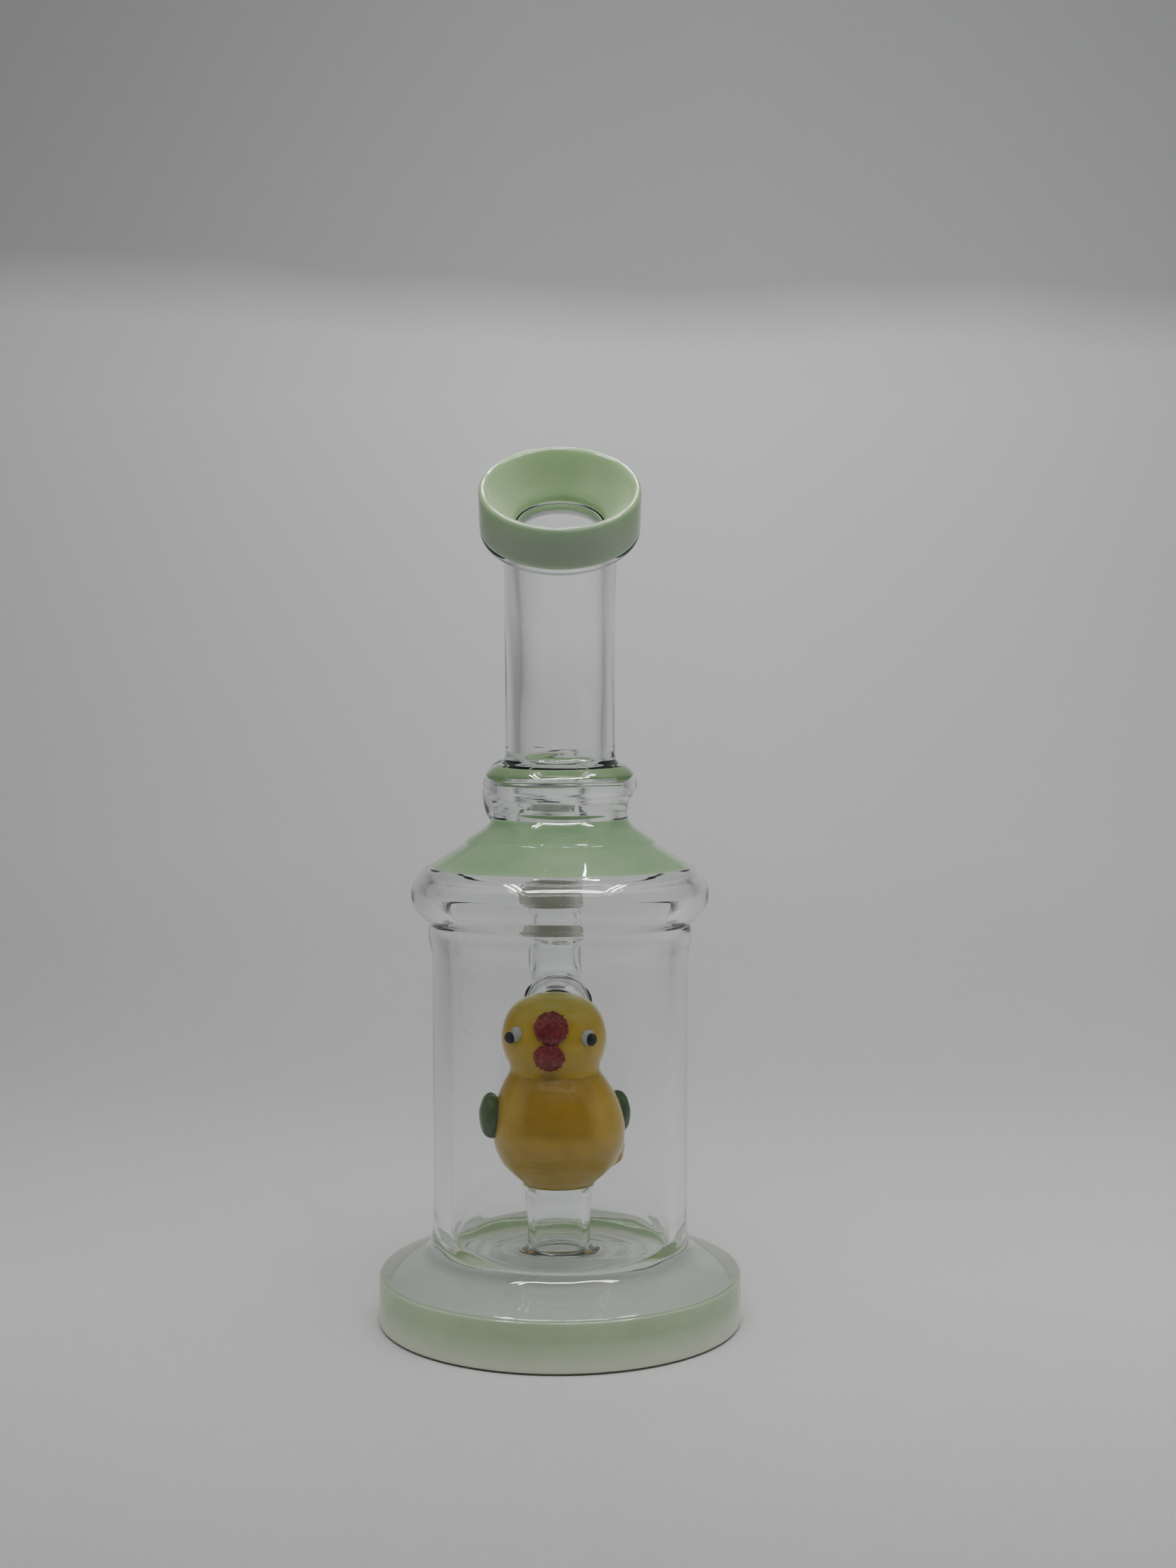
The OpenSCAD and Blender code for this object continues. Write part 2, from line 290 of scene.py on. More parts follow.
def clear_glass(name, tint=(0.985, 0.993, 0.987), pass_tint=(0.95, 0.965, 0.955), wave=0.00005, wave_scale=70.0,
                smudge=0.03, fine=0.0, stretch_by=(1, 1, 1), ior=1.47, low=None):
    m, nt = new_mat(name)
    vec = stretch(nt, obj_coord(nt), stretch_by)
    p = node(nt, "ShaderNodeBsdfPrincipled")
    p.inputs["Base Color"].default_value = (*tint, 1)
    p.inputs["Transmission Weight"].default_value = 1.0
    p.inputs["IOR"].default_value = ior
    smear = map_range(nt, noise_tex(nt, vec, 38, 4, 0.6), 0.6, 0.8, 0.0, smudge)
    nt.links.new(smear, p.inputs["Roughness"])
    height = noise_tex(nt, vec, wave_scale, 1.5, 0.4, 0.3)
    if low:  # the foot: thicker, greener and less even than the wall above it; the much greener tint towards the rim is painted, standing in for the green band seen through the dome
        sep = node(nt, "ShaderNodeSeparateXYZ")
        nt.links.new(obj_coord(nt), sep.inputs[0])
        up = map_range(nt, sep.outputs["Z"], 0.0165, 0.021, 0.0, 1.0)
        flat_r = math_node(nt, "SQRT", math_node(nt, "ADD", math_node(nt, "MULTIPLY", sep.outputs["X"], sep.outputs["X"]),
                                                 math_node(nt, "MULTIPLY", sep.outputs["Y"], sep.outputs["Y"])))
        # painted tint: greener glass beyond about 34.5 mm radius stands in for the green band seen through the dome
        edge = mix_col(nt, map_range(nt, flat_r, 0.0345, 0.042, 0.0, 1.0), low[0], low[2])
        nt.links.new(mix_col(nt, up, edge, tint), p.inputs["Base Color"])
        pass_tint = mix_col(nt, up, low[1], pass_tint)
        height = math_node(nt, "MULTIPLY", height, map_range(nt, sep.outputs["Z"], 0.0165, 0.024, 1.0, 0.30))
    nrm = bump(nt, height, 1.0, wave)
    if fine:
        nrm = bump(nt, noise_tex(nt, vec, wave_scale * 5, 2, 0.5, 0.6), 1.0, fine, nrm)
    nt.links.new(nrm, p.inputs["Normal"])
    out(nt, let_light_in(nt, p.outputs[0], pass_tint))
    return m


def milky_glass(name, a, b, sss=0.55, rough=0.022, streak=(1, 1, 1), scale=55.0, creamy=None, satin=None):
    m, nt = new_mat(name)
    vec = stretch(nt, obj_coord(nt), streak)
    p = node(nt, "ShaderNodeBsdfPrincipled")
    cloud = map_range(nt, noise_tex(nt, vec, scale, 3, 0.55, 0.8), 0.35, 0.68, 0.0, 1.0)
    col = mix_col(nt, cloud, a, b)
    if creamy:  # paler towards the lower edge; on the foot band this pale edge is partly a painted highlight for the bright line along the bottom rim
        sep = node(nt, "ShaderNodeSeparateXYZ")
        nt.links.new(obj_coord(nt), sep.inputs[0])
        col = mix_col(nt, map_range(nt, sep.outputs["Z"], creamy[3], creamy[4], 0.8, 0.0), col, creamy[:3])
    seeds = map_range(nt, noise_tex(nt, obj_coord(nt), 900, 1, 0.5), 0.70, 0.78, 0.0, 0.35)
    col = mix_col(nt, seeds, col, tuple(min(1.0, c * 1.25) for c in b))
    nt.links.new(col, p.inputs["Base Color"])
    p.inputs["Subsurface Weight"].default_value = sss
    p.inputs["Subsurface Radius"].default_value = (1.0, 1.25, 0.9)
    p.inputs["Subsurface Scale"].default_value = 0.0035
    p.inputs["IOR"].default_value = 1.47
    uneven = map_range(nt, noise_tex(nt, vec, 45, 3, 0.6), 0.4, 0.8, rough * 0.6, rough * 2.2)
    if satin:  # duller inside a radius about a leaning axis
        centre, axis, r0, r1, level = satin
        off = node(nt, "ShaderNodeVectorMath", operation="SUBTRACT")
        nt.links.new(obj_coord(nt), off.inputs[0])
        off.inputs[1].default_value = centre
        turn = node(nt, "ShaderNodeVectorMath", operation="CROSS_PRODUCT")
        nt.links.new(off.outputs[0], turn.inputs[0])
        turn.inputs[1].default_value = axis
        size = node(nt, "ShaderNodeVectorMath", operation="LENGTH")
        nt.links.new(turn.outputs[0], size.inputs[0])
        uneven = math_node(nt, "ADD", uneven, map_range(nt, size.outputs["Value"], r0, r1, level, 0.0))
    nt.links.new(uneven, p.inputs["Roughness"])
    nt.links.new(bump(nt, noise_tex(nt, vec, 60, 2, 0.5, 0.4), 1.0, 0.00006), p.inputs["Normal"])
    out(nt, p.outputs[0])
    return m


M_CLEAR = clear_glass("clear_glass")
# the third colour in low is the painted green of the band seen through the foot's dome
M_VESSEL = clear_glass("vessel_glass", low=((0.92, 0.945, 0.91), (0.80, 0.825, 0.785), (0.79, 0.875, 0.775)), wave=0.00009, wave_scale=62)
M_NECK = clear_glass("neck_glass", wave=0.00005, stretch_by=(1, 1, 0.6))
M_PERC = clear_glass("percolator_glass", wave=0.00009, wave_scale=110, fine=0.00001)
M_INLET = clear_glass("inlet_glass", wave=0.00007, wave_scale=110, ior=1.25)
# the foot band's creamy bottom edge is partly its own paler colour and partly a painted highlight along the bottom rim
M_MILKY_FOOT = milky_glass("milky_green_foot", (0.412, 0.517, 0.350), (0.476, 0.578, 0.400), streak=(1, 1, 2.4), creamy=(0.80, 0.82, 0.67, 0.0010, 0.0080))
M_MILKY_CONE = milky_glass("milky_green_shoulder", (0.26, 0.40, 0.225), (0.315, 0.44, 0.27), streak=(1, 1, 2.0))
M_MILKY_MOUTH = milky_glass("milky_green_mouthpiece", (0.37, 0.53, 0.29), (0.43, 0.575, 0.33), creamy=(0.48, 0.57, 0.45, 0.1925, 0.1985),
                            satin=((0.0, -0.02602, 0.20345), (0.0, -0.5934, 0.8049), 0.0162, 0.0174, 0.50))
M_ACCENT = milky_glass("green_accent", (0.21, 0.32, 0.16), (0.30, 0.41, 0.24), sss=0.35)


def ground_glass():
    m, nt = new_mat("ground_glass")
    vec = obj_coord(nt)
    p = node(nt, "ShaderNodeBsdfPrincipled")
    grain = noise_tex(nt, vec, 2600, 2, 0.6)
    nt.links.new(mix_col(nt, map_range(nt, noise_tex(nt, vec, 120, 3, 0.6), 0.35, 0.7, 0.0, 1.0),
                         (0.81, 0.80, 0.75), (0.85, 0.84, 0.79)), p.inputs["Base Color"])
    p.inputs["Transmission Weight"].default_value = 0.88
    p.inputs["IOR"].default_value = 1.47
    nt.links.new(map_range(nt, noise_tex(nt, vec, 300, 3, 0.6), 0.3, 0.7, 0.24, 0.36), p.inputs["Roughness"])
    nt.links.new(bump(nt, grain, 0.5, 0.00003), p.inputs["Normal"])
    out(nt, let_light_in(nt, p.outputs[0], (0.76, 0.77, 0.74)))
    return m


M_GROUND = ground_glass()


def bird_glass(name, top, mid, low, z0, z1, z2, z3, painted_reflection=None, sss=0.4):
    """Yellow glass whose colour changes up its height. The optional strip is a painted reflection: darker amber at the
    front and back, standing in for the dark room mirrored in the body.
    """
    m, nt = new_mat(name)
    vec = obj_coord(nt)
    p = node(nt, "ShaderNodeBsdfPrincipled")
    sep = node(nt, "ShaderNodeSeparateXYZ")
    nt.links.new(vec, sep.inputs[0])
    warp = math_node(nt, "MULTIPLY", math_node(nt, "SUBTRACT", noise_tex(nt, vec, 110, 2, 0.5), 0.5), 0.0022)
    z = math_node(nt, "ADD", sep.outputs["Z"], warp)
    col = mix_col(nt, map_range(nt, z, z0, z1, 0.0, 1.0), low, mid)
    col = mix_col(nt, map_range(nt, z, z2, z3, 0.0, 1.0), col, top)
    # painted reflection: a darker amber strip at the front and back stands in for the dark room mirrored in the glossy
    # body
    if painted_reflection:
        reflection_amber, zl, zh, half = painted_reflection
        w1 = map_range(nt, z, zl - 0.0012, zl + 0.0012, 0.0, 1.0)
        w2 = map_range(nt, z, zh - 0.0003, zh + 0.0003, 1.0, 0.0)
        x = math_node(nt, "ABSOLUTE", math_node(nt, "ADD", math_node(nt, "ADD", sep.outputs["X"], 0.0009), warp))
        w3 = map_range(nt, x, half - 0.0014, half + 0.0014, 1.0, 0.0)
        w = math_node(nt, "MULTIPLY", math_node(nt, "MULTIPLY", w1, w2), w3)
        col = mix_col(nt, w, col, reflection_amber)
    mott = map_range(nt, noise_tex(nt, vec, 260, 4, 0.6), 0.3, 0.7, 0.90, 1.08)
    v = node(nt, "ShaderNodeVectorMath", operation="SCALE")
    nt.links.new(col, v.inputs[0])
    nt.links.new(mott, v.inputs["Scale"])
    nt.links.new(v.outputs[0], p.inputs["Base Color"])
    p.inputs["Subsurface Weight"].default_value = sss
    p.inputs["Subsurface Radius"].default_value = (1.4, 1.0, 0.35)
    p.inputs["Subsurface Scale"].default_value = 0.002
    p.inputs["IOR"].default_value = 1.47
    nt.links.new(map_range(nt, noise_tex(nt, vec, 180, 3, 0.6), 0.4, 0.8, 0.015, 0.05), p.inputs["Roughness"])
    nt.links.new(bump(nt, noise_tex(nt, vec, 140, 2, 0.5, 0.5), 1.0, 0.00007), p.inputs["Normal"])
    out(nt, p.outputs[0])
    return m


M_HEAD = bird_glass("bird_head_yellow", (0.76, 0.60, 0.15), (0.66, 0.43, 0.038), (0.60, 0.36, 0.020),
                    0.060, 0.067, 0.076, 0.081)
# the body's darker amber strip below is a painted reflection of the dark room
M_BODY = bird_glass("bird_body_amber", (0.50, 0.300, 0.010), (0.54, 0.325, 0.010), (0.53, 0.325, 0.008),
                    0.034, 0.045, 0.055, 0.062, painted_reflection=((0.425, 0.240, 0.005), 0.0487, 0.0625, 0.0085))


def streaky(name, base, light, dark, scale=420.0, rough=0.22, amount=0.75):
    m, nt = new_mat(name)
    vec = obj_coord(nt)
    p = node(nt, "ShaderNodeBsdfPrincipled")
    lines = noise_tex(nt, stretch(nt, vec, (1.0, 1.0, 0.28)), scale, 4, 0.65, 1.2)
    col = mix_col(nt, map_range(nt, noise_tex(nt, vec, scale * 0.5, 3, 0.6), 0.35, 0.7, 0.0, 1.0), dark, base)
    col = mix_col(nt, map_range(nt, lines, 0.56, 0.74, 0.0, amount), col, light)
    nt.links.new(col, p.inputs["Base Color"])
    p.inputs["Subsurface Weight"].default_value = 0.15
    p.inputs["Subsurface Radius"].default_value = (1.0, 0.4, 0.4)
    p.inputs["Subsurface Scale"].default_value = 0.001
    p.inputs["IOR"].default_value = 1.47
    nt.links.new(map_range(nt, lines, 0.4, 0.7, rough * 0.7, rough * 1.6), p.inputs["Roughness"])
    nt.links.new(bump(nt, lines, 0.8, 0.00012), p.inputs["Normal"])
    out(nt, p.outputs[0])
    return m


M_BEAK = streaky("beak_red", (0.33, 0.028, 0.032), (0.58, 0.15, 0.14), (0.19, 0.008, 0.011), rough=0.06)
M_WHITE = streaky("eye_white", (0.60, 0.61, 0.58), (0.68, 0.69, 0.66), (0.48, 0.49, 0.46), 300, 0.04, 0.4)
M_PUPIL = streaky("pupil_black", (0.010, 0.012, 0.012), (0.05, 0.055, 0.055), (0.004, 0.005, 0.005), 500, 0.035, 0.5)


def leaf_glass():
    m, nt = new_mat("wing_green")
    vec = obj_coord(nt)
    p = node(nt, "ShaderNodeBsdfPrincipled")
    cloud = map_range(nt, noise_tex(nt, stretch(nt, vec, (1, 1, 0.5)), 260, 3, 0.6, 0.8), 0.35, 0.7, 0.0, 1.0)
    nt.links.new(mix_col(nt, cloud, (0.026, 0.090, 0.001), (0.052, 0.130, 0.004)), p.inputs["Base Color"])
    p.inputs["Transmission Weight"].default_value = 0.25
    p.inputs["Subsurface Weight"].default_value = 0.2
    p.inputs["Subsurface Radius"].default_value = (0.5, 1.0, 0.4)
    p.inputs["Subsurface Scale"].default_value = 0.0015
    p.inputs["IOR"].default_value = 1.47
    nt.links.new(map_range(nt, noise_tex(nt, vec, 200, 2, 0.5), 0.4, 0.8, 0.015, 0.04), p.inputs["Roughness"])
    nt.links.new(bump(nt, noise_tex(nt, vec, 190, 2, 0.5, 0.4), 1.0, 0.00006), p.inputs["Normal"])
    out(nt, p.outputs[0])
    return m


M_WING = leaf_glass()

# ---------------------------------------------------------------- sizes, in mm, as the CAD has them
FLOOR, JX, JY, JZ = 17.0, -0.8, 48.0, 74.6
BEND = math.radians(36.4)
ARC = 40 * BEND
RIM = 155 + ARC + 30.7
LEAN = math.radians(4)


def neck_place(r, s, th):
    """A point round the neck's centreline: s runs up the middle, and follows the bend."""
    if s <= 155:
        py, pz, a = 0.0, s, 0.0
    elif s <= 155 + ARC:
        a = (s - 155) / 40
        py, pz = -40 + 40 * math.cos(a), 155 + 40 * math.sin(a)
    else:
        a = BEND
        py = -40 + 40 * math.cos(a) - (s - 155 - ARC) * math.sin(a)
        pz = 155 + 40 * math.sin(a) + (s - 155 - ARC) * math.cos(a)
    u = r * math.sin(th)
    return Vector((r * math.cos(th), py + u * math.cos(a), pz + u * math.sin(a))) * MM


def joint_place(r, s, th):
    """A point round the leaning joint's axis, s above the elbow's corner."""
    x, y = r * math.cos(th), r * math.sin(th)
    return Vector((JX + x * math.cos(LEAN) - s * math.sin(LEAN), JY + y, JZ + x * math.sin(LEAN) + s * math.cos(LEAN))) * MM


def elbow_place(r, s, th):
    """A point round the elbow's centreline, s from the wall side: 3 mm straight, a quarter bend of 10 mm, then up."""
    if s <= 3:
        y, z, a = -13 + s, 0.0, 0.0
    elif s <= 3 + 10 * math.pi / 2:
        a = (s - 3) / 10
        y, z = -10 + 10 * math.sin(a), 10 - 10 * math.cos(a)
    else:
        a = math.pi / 2
        y, z = 0.0, 10 + s - 3 - 10 * math.pi / 2
    x, u = r * math.cos(th), r * math.sin(th)
    y, z = y - u * math.sin(a), z + u * math.cos(a)
    return Vector((JX + x * math.cos(LEAN) - z * math.sin(LEAN), JY + y, JZ + x * math.sin(LEAN) + z * math.cos(LEAN))) * MM


def inlet_place(r, s, th):
    return Vector((JX + r * math.cos(th), s, JZ + r * math.sin(th))) * MM


def lean_x(z):
    t = min(max((z - 47) / 22, 0.0), 1.0)
    return -0.35 - 1.2 * t * t * (3 - 2 * t)


def bird_place(r, s, th):
    return Vector((lean_x(s) + r * math.cos(th), r * math.sin(th), s)) * MM


# ---------------------------------------------------------------- foot, can and collar: one fused wall of clear glass
can_w = waver(0.7, 0.10)
col_w = waver(2.1, 0.06, turns=(2, 3, 4), pitch_mm=60)


def vessel_wob(r, s, th):
    if s < 16.95 or (s < 17.6 and r < 25):
        return 0.0
    t = smooth_window(s, 96.5, 200, 4.5)
    v = can_w(r, s, th) * (1 - t) * smooth_window(s, 16.95, 200, 2.0) + col_w(r, s, th) * t
    v += 0.05 * smooth_window(s, 92, 99.6, 3) * math.sin(5 * th + 1.2) * math.sin((s - 92) * 1.1 + 2 * math.sin(2 * th))
    inner = 1.6 if r < 29 else 1.0
    v += 0.12 * inner * smooth_window(s, 16.95, 24, 2) * math.sin(7 * th + 0.4 + 2 * math.sin(2 * th)) * math.sin(s * 1.2 + th)
    return v


def floor_line(r0):
    """The floor of the can, from r0 to the middle: rings left by the turning."""
    return [(r0 * (1 - k / 44), FLOOR + (0.34 * math.sin(TAU * r0 * (1 - k / 44) / 4.7) + 0.13 * math.sin(TAU * r0 * (1 - k / 44) / 2.1 + 1))
             * min(1.0, k / 5, (44 - k) / 5)) for k in range(45)]


vessel = revolve("vessel_glass", join(
    line((0, 0), (43.4, 0), 20) + spl([(43.4, 0), (44.3, 0.15), (44.85, 0.6), (44.93, 0.72), (44.95, 0.8)], 4)[1:],
    line((44.95, 0.8), (38.0, 0.8), 6),
    spl([(38.0, 0.8), (40.0, 1.5), (41.8, 2.9), (43.0, 4.7), (43.75, 6.8), (44.15, 9.4), (44.3, 12.4)], 5),
    line((44.3, 12.4), (44.6, 12.4), 1),
    spl([(44.6, 12.4), (44.66, 12.7), (44.3, 13.15), (43.4, 13.75), (41, 14.9), (38, 16.0), (35.4, 16.85), (34.0, 17.5),
         (32.9, 18.6), (32.2, 20.2), (31.8, 22.4), (31.6, 25.5)], 8)
    + line((31.6, 25.5), (31.6, 87), 40)[1:]
    + spl([(31.6, 87), (31.65, 89.5), (31.85, 92), (32.3, 95), (32.5, 97.2), (32.3, 98.5), (32.15, 99.2), (32.5, 99.8),
           (33.7, 100.8), (35.5, 102.7), (36.6, 104.9), (36.8, 107.1), (36.35, 109.2), (35.1, 111.5), (33.6, 112.9),
           (32.4, 113.6)], 10)[1:],
    line((32.4, 113.6), (29.4, 113.6), 3),
    spl([(29.4, 113.6), (30.4, 111.9), (31.5, 110.3), (32.6, 108.8), (33.2, 107.2), (33.0, 105.8), (32.35, 104.5),
         (31.1, 103.0), (29.6, 101.5), (28.4, 100.0), (27.85, 98.2), (27.6, 94.5), (27.35, 90.5), (27.3, 87)], 10)
    + line((27.3, 87), (27.3, 23), 40)[1:]
    + spl([(27.3, 23), (27.2, 20.6), (26.8, 18.8), (25.9, 17.6), (24.4, FLOOR)], 8)[1:] + floor_line(24.4)[1:]),
    about_z(), "pipe", M_VESSEL, seg=164, wob=vessel_wob)
band = revolve("foot_band_glass", join(
    line((37.4, 0.7), (44.95, 0.7), 6),
    spl([(44.95, 0.7), (45, 1.0), (45, 1.4)], 3) + line((45, 1.4), (45, 11.6), 8)[1:] + spl([(45, 11.6), (44.93, 12.2), (44.6, 12.5)], 4)[1:],
    line((44.6, 12.5), (44.0, 12.5), 2),
    spl([(44.0, 12.5), (43.9, 9.4), (43.5, 6.8), (42.7, 4.7), (41.5, 3.0), (39.7, 1.65), (37.4, 0.7)], 5)),
    about_z(), "pipe", M_MILKY_FOOT, seg=256)
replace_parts(vessel, "foot_disc", "can_tube", "collar_roll")
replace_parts(band, "foot_band")

cone = revolve("shoulder_cone_glass", join(
    spl([(32.75, 113.35), (31.2, 114.35), (29.4, 115.45), (26.5, 117.2), (23.6, 119.0), (21.4, 120.35), (19.6, 121.45),
         (18.0, 122.6), (16.9, 123.8), (16.2, 125.1)], 8),
    line((16.2, 125.1), (15.2, 124.8), 3),
    spl([(15.2, 124.8), (17.0, 121.6), (19.2, 119.5), (23.2, 116.9), (28.9, 113.35)], 8),
    line((28.9, 113.35), (32.75, 113.35), 3)),
    about_z(), "pipe", M_MILKY_CONE, seg=256, wob=waver(3.3, 0.07))
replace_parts(cone, "shoulder_cone")

# ---------------------------------------------------------------- neck: waist, ring, bent tube and cup are one fused piece
ring_w = waver(1.3, 0.08)


def neck_wob(r, s, th):
    v = ring_w(r, s, th) * (1.0 if s < 200 else 0.5)
    v += 0.035 * smooth_window(s, 124.5, 132.5, 2.0) * math.sin(s * TAU / 1.9 + th + 0.8 * math.sin(3 * th))
    v += 0.06 * smooth_window(s, 131, 138.5, 2.0) * math.sin(4 * th + s)
    v += 0.035 * smooth_window(s, 138.0, 145.0, 1.5) * math.sin(s * TAU / 2.3 + 2 * math.sin(2 * th + 0.5))
    if r < 11 and s > 145:
        v += (0.16 * math.cos(3 * th + 0.9 + s / 31) + 0.07 * math.cos(7 * th + s / 17)) * 0.75 * smooth_window(s, 146, RIM - 13, 16)
    return v


R = RIM
neck = revolve("neck_glass", join(
    spl([(23.2, 119.2), (23.35, 119.6), (22.9, 120.1), (21.8, 120.9), (20.5, 121.75), (19.2, 122.6), (18.0, 123.5), (17.1, 124.7), (16.6, 126.2),
         (16.7, 127.9), (17.15, 129.6), (18.0, 131.1), (18.75, 132.4), (19.0, 133.9), (18.7, 135.5), (17.8, 137.0),
         (16.4, 138.2), (14.9, 138.95), (13.9, 139.8), (13.6, 141.2), (13.55, 143)], 8)
    + line((13.55, 143), (13.55, 155), 12)[1:] + line((13.55, 155), (13.55, 155 + ARC), 28)[1:]
    + line((13.55, 155 + ARC), (13.55, R - 14.8), 10)[1:]
    + spl([(13.55, R - 14.8), (13.7, R - 13.9), (14.4, R - 13.2), (15.7, R - 12.8), (17.2, R - 12.4), (18.4, R - 11.6),
           (18.9, R - 10.6), (18.95, R - 9.7)], 6)[1:],
    line((18.95, R - 9.7), (10.3, R - 9.7), 8),
    spl([(10.3, R - 9.7), (10.12, R - 10.0), (10.1, R - 10.8)], 4)
    + line((10.1, R - 10.8), (10.1, 155 + ARC), 10)[1:] + line((10.1, 155 + ARC), (10.1, 155), 28)[1:]
    + line((10.1, 155), (10.1, 139.6), 16)[1:]
    + spl([(10.1, 139.6), (10.7, 138.1), (12.4, 136.9), (14.4, 135.9), (15.5, 134.7), (15.8, 133.9), (15.8, 133.0), (15.0, 131.0),
           (14.2, 129.0), (13.7, 127.0), (13.9, 125.2), (15.0, 123.7), (16.6, 122.6)], 8)[1:],
    line((16.6, 122.6), (23.2, 119.2), 6)),
    neck_place, "pipe", M_NECK, seg=224, wob=neck_wob)
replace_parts(neck, "neck_waist", "neck_ring", "neck_tube", "mouthpiece_cup")
accent = revolve("ring_accent_glass", join(
    spl([(15.2, 136.55), (15.5, 136.05), (16.1, 135.45), (16.7, 135.2), (16.95, 135.55), (16.45, 136.45), (15.8, 137.15), (15.3, 137.1)], 5),
    line((15.3, 137.1), (15.2, 136.55), 2)),
    about_z(), "pipe", M_ACCENT, seg=192,
    wob=lambda r, s, th: 0.10 * math.sin(3 * th + 0.7))
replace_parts(accent, "ring_accent")
mouth = revolve("mouthpiece_band_glass", join(
    line((10.9, R - 9.8), (18.9, R - 9.8), 8),
    spl([(18.9, R - 9.8), (19.05, R - 9.2), (19.1, R - 8.2)], 4)
    + line((19.1, R - 8.2), (19.1, R - 0.7), 8)[1:]
    + spl([(19.1, R - 0.7), (18.95, R + 0.35), (18.4, R + 0.9), (17.7, R + 0.8), (17.0, R + 0.15), (16.2, R - 0.9),
           (15.3, R - 2.2), (14.2, R - 3.9), (12.9, R - 5.8), (11.8, R - 7.3), (11.15, R - 8.4), (11.0, R - 9.1)], 7)[1:],
    line((11.0, R - 9.1), (10.9, R - 9.8), 1)),
    neck_place, "pipe", M_MILKY_MOUTH, seg=224, wob=waver(4.4, 0.06))
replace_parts(mouth, "mouthpiece_band")

# ---------------------------------------------------------------- percolator stem and foot
stem = revolve("stem_tube_glass", join(
    line((5.9, 18.1), (8.0, 18.1), 2),
    spl([(8.0, 18.1), (7.75, 20), (7.75, 23), (7.95, 27), (8.25, 30.5), (8.6, 32.8), (9.0, 34.2), (9.3, 35.3)], 6),
    line((9.3, 35.3), (7.0, 35.6), 2),
    spl([(7.0, 35.6), (6.1, 33.0), (5.95, 30), (5.9, 26), (5.85, 21), (5.9, 18.1)], 6)),
    about_z(-0.35), "pipe", M_PERC, seg=128, wob=waver(5.0, 0.08))
stem_foot = revolve("stem_foot_glass", join(
    line((5.8, 16.9), (9.8, 16.9), 3),
    spl([(9.8, 16.9), (10.15, 17.15), (10.3, 17.5), (10.1, 17.95), (9.3, 18.25), (8.4, 18.45), (7.85, 18.9)], 5),
    line((7.85, 18.9), (5.9, 18.9), 2),
    line((5.9, 18.9), (5.8, 16.9), 3)),
    about_z(-0.35), "pipe", M_PERC, seg=128, wob=waver(6.0, 0.12))
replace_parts(stem, "stem_tube")
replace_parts(stem_foot, "stem_foot")

# ---------------------------------------------------------------- the bird
body_out = spl([(7.9, 34.5), (9.0, 35.0), (10.3, 36.0), (12.2, 37.7), (14.45, 40.3), (16.0, 43.9), (16.5, 47.6), (16.15, 51.6),
                (15.1, 55.6), (13.2, 59.4), (11.75, 61.7), (11.35, 62.4)], 8)
head_out = spl([(11.35, 62.4), (11.15, 63.2), (11.35, 64.6), (12.4, 67.2), (13.05, 70.5), (12.7, 73.7), (11.55, 76.8),
                (9.45, 79.4), (6.4, 81.1), (3.1, 81.8), (0.0, 82.0)], 8)
bird_w = waver(7.7, 0.12, turns=(2, 3, 4), pitch_mm=14)
body = revolve("bird_body_glass", join(
    body_out,
    line(body_out[-1], (9.2, 62.4), 2),
    spl([(9.2, 62.4), (11.3, 58.4), (13.5, 53), (14.2, 48), (13.2, 42.8), (10.7, 39.4), (7.0, 36.8), (5.6, 34.5)], 5),
    line((5.6, 34.5), (7.9, 34.5), 2)),
    bird_place, "pipe", M_BODY, seg=128, wob=bird_w)
head = revolve("bird_head_glass", join(
    head_out,
    [(0.0, 79.8)] + spl([(0.0, 79.8), (3.4, 79.3), (7.5, 77.9), (10, 75.2), (10.8, 71.4), (10.4, 67.4), (9.2, 62.4)], 5)[1:],
    line((9.2, 62.4), head_out[0], 2)),
    bird_place, "pipe", M_HEAD, seg=128, wob=bird_w)
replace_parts(body, "bird_body")
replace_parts(head, "bird_head")


def on_head(az, el, d, cx=-1.5, cz=70.4):
    a, e = math.radians(az), math.radians(el)
    n = Vector((math.sin(a) * math.cos(e), -math.cos(a) * math.cos(e), math.sin(e)))
    return Vector((cx, 0, cz)) + n * d, n


c, n = on_head(-3.3, 20.7, 12.5)
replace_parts(blob("beak_upper_glass", c, n, (4.05, 4.1, 1.9), "pipe", M_BEAK, rough=0.08, freq=1.0, seed=1.0, square=1.35), "beak_upper")
c, n = on_head(-5.3, -11.4, 12.5)
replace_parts(blob("beak_lower_glass", c, n, (3.6, 3.4, 1.9), "pipe", M_BEAK, rough=0.09, freq=1.0, seed=5.0, square=1.35), "beak_lower")
c, n = on_head(-45.5, 12.0, 12.75)
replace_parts(blob("eye_white_left_glass", c, n, (1.9, 1.85, 1.3), "pipe", M_WHITE, square=1.5, cut=5, rough=0.06), "eye_white_left")
c, n = on_head(39.5, 8.5, 12.75)
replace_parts(blob("eye_white_right_glass", c, n, (2.05, 2.0, 1.2), "pipe", M_WHITE, square=1.5, cut=5, rough=0.08), "eye_white_right")
c, n = on_head(-50.5, 7.5, 13.9)
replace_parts(blob("pupil_left_glass", c, n, (1.6, 1.4, 0.95), "pipe", M_PUPIL, square=1.4, cut=5), "pupil_left")
c, n = on_head(41.0, 6.5, 13.7)
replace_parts(blob("pupil_right_glass", c, n, (1.5, 1.55, 0.95), "pipe", M_PUPIL, square=1.4, cut=5), "pupil_right")
c, n = on_head(-80, 0, 17.05, -0.35, 51.9)
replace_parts(blob("wing_left_glass", c, n, (4.6, 5.6, 2.9), "pipe", M_WING, rough=0.03, seed=2.0), "wing_left")
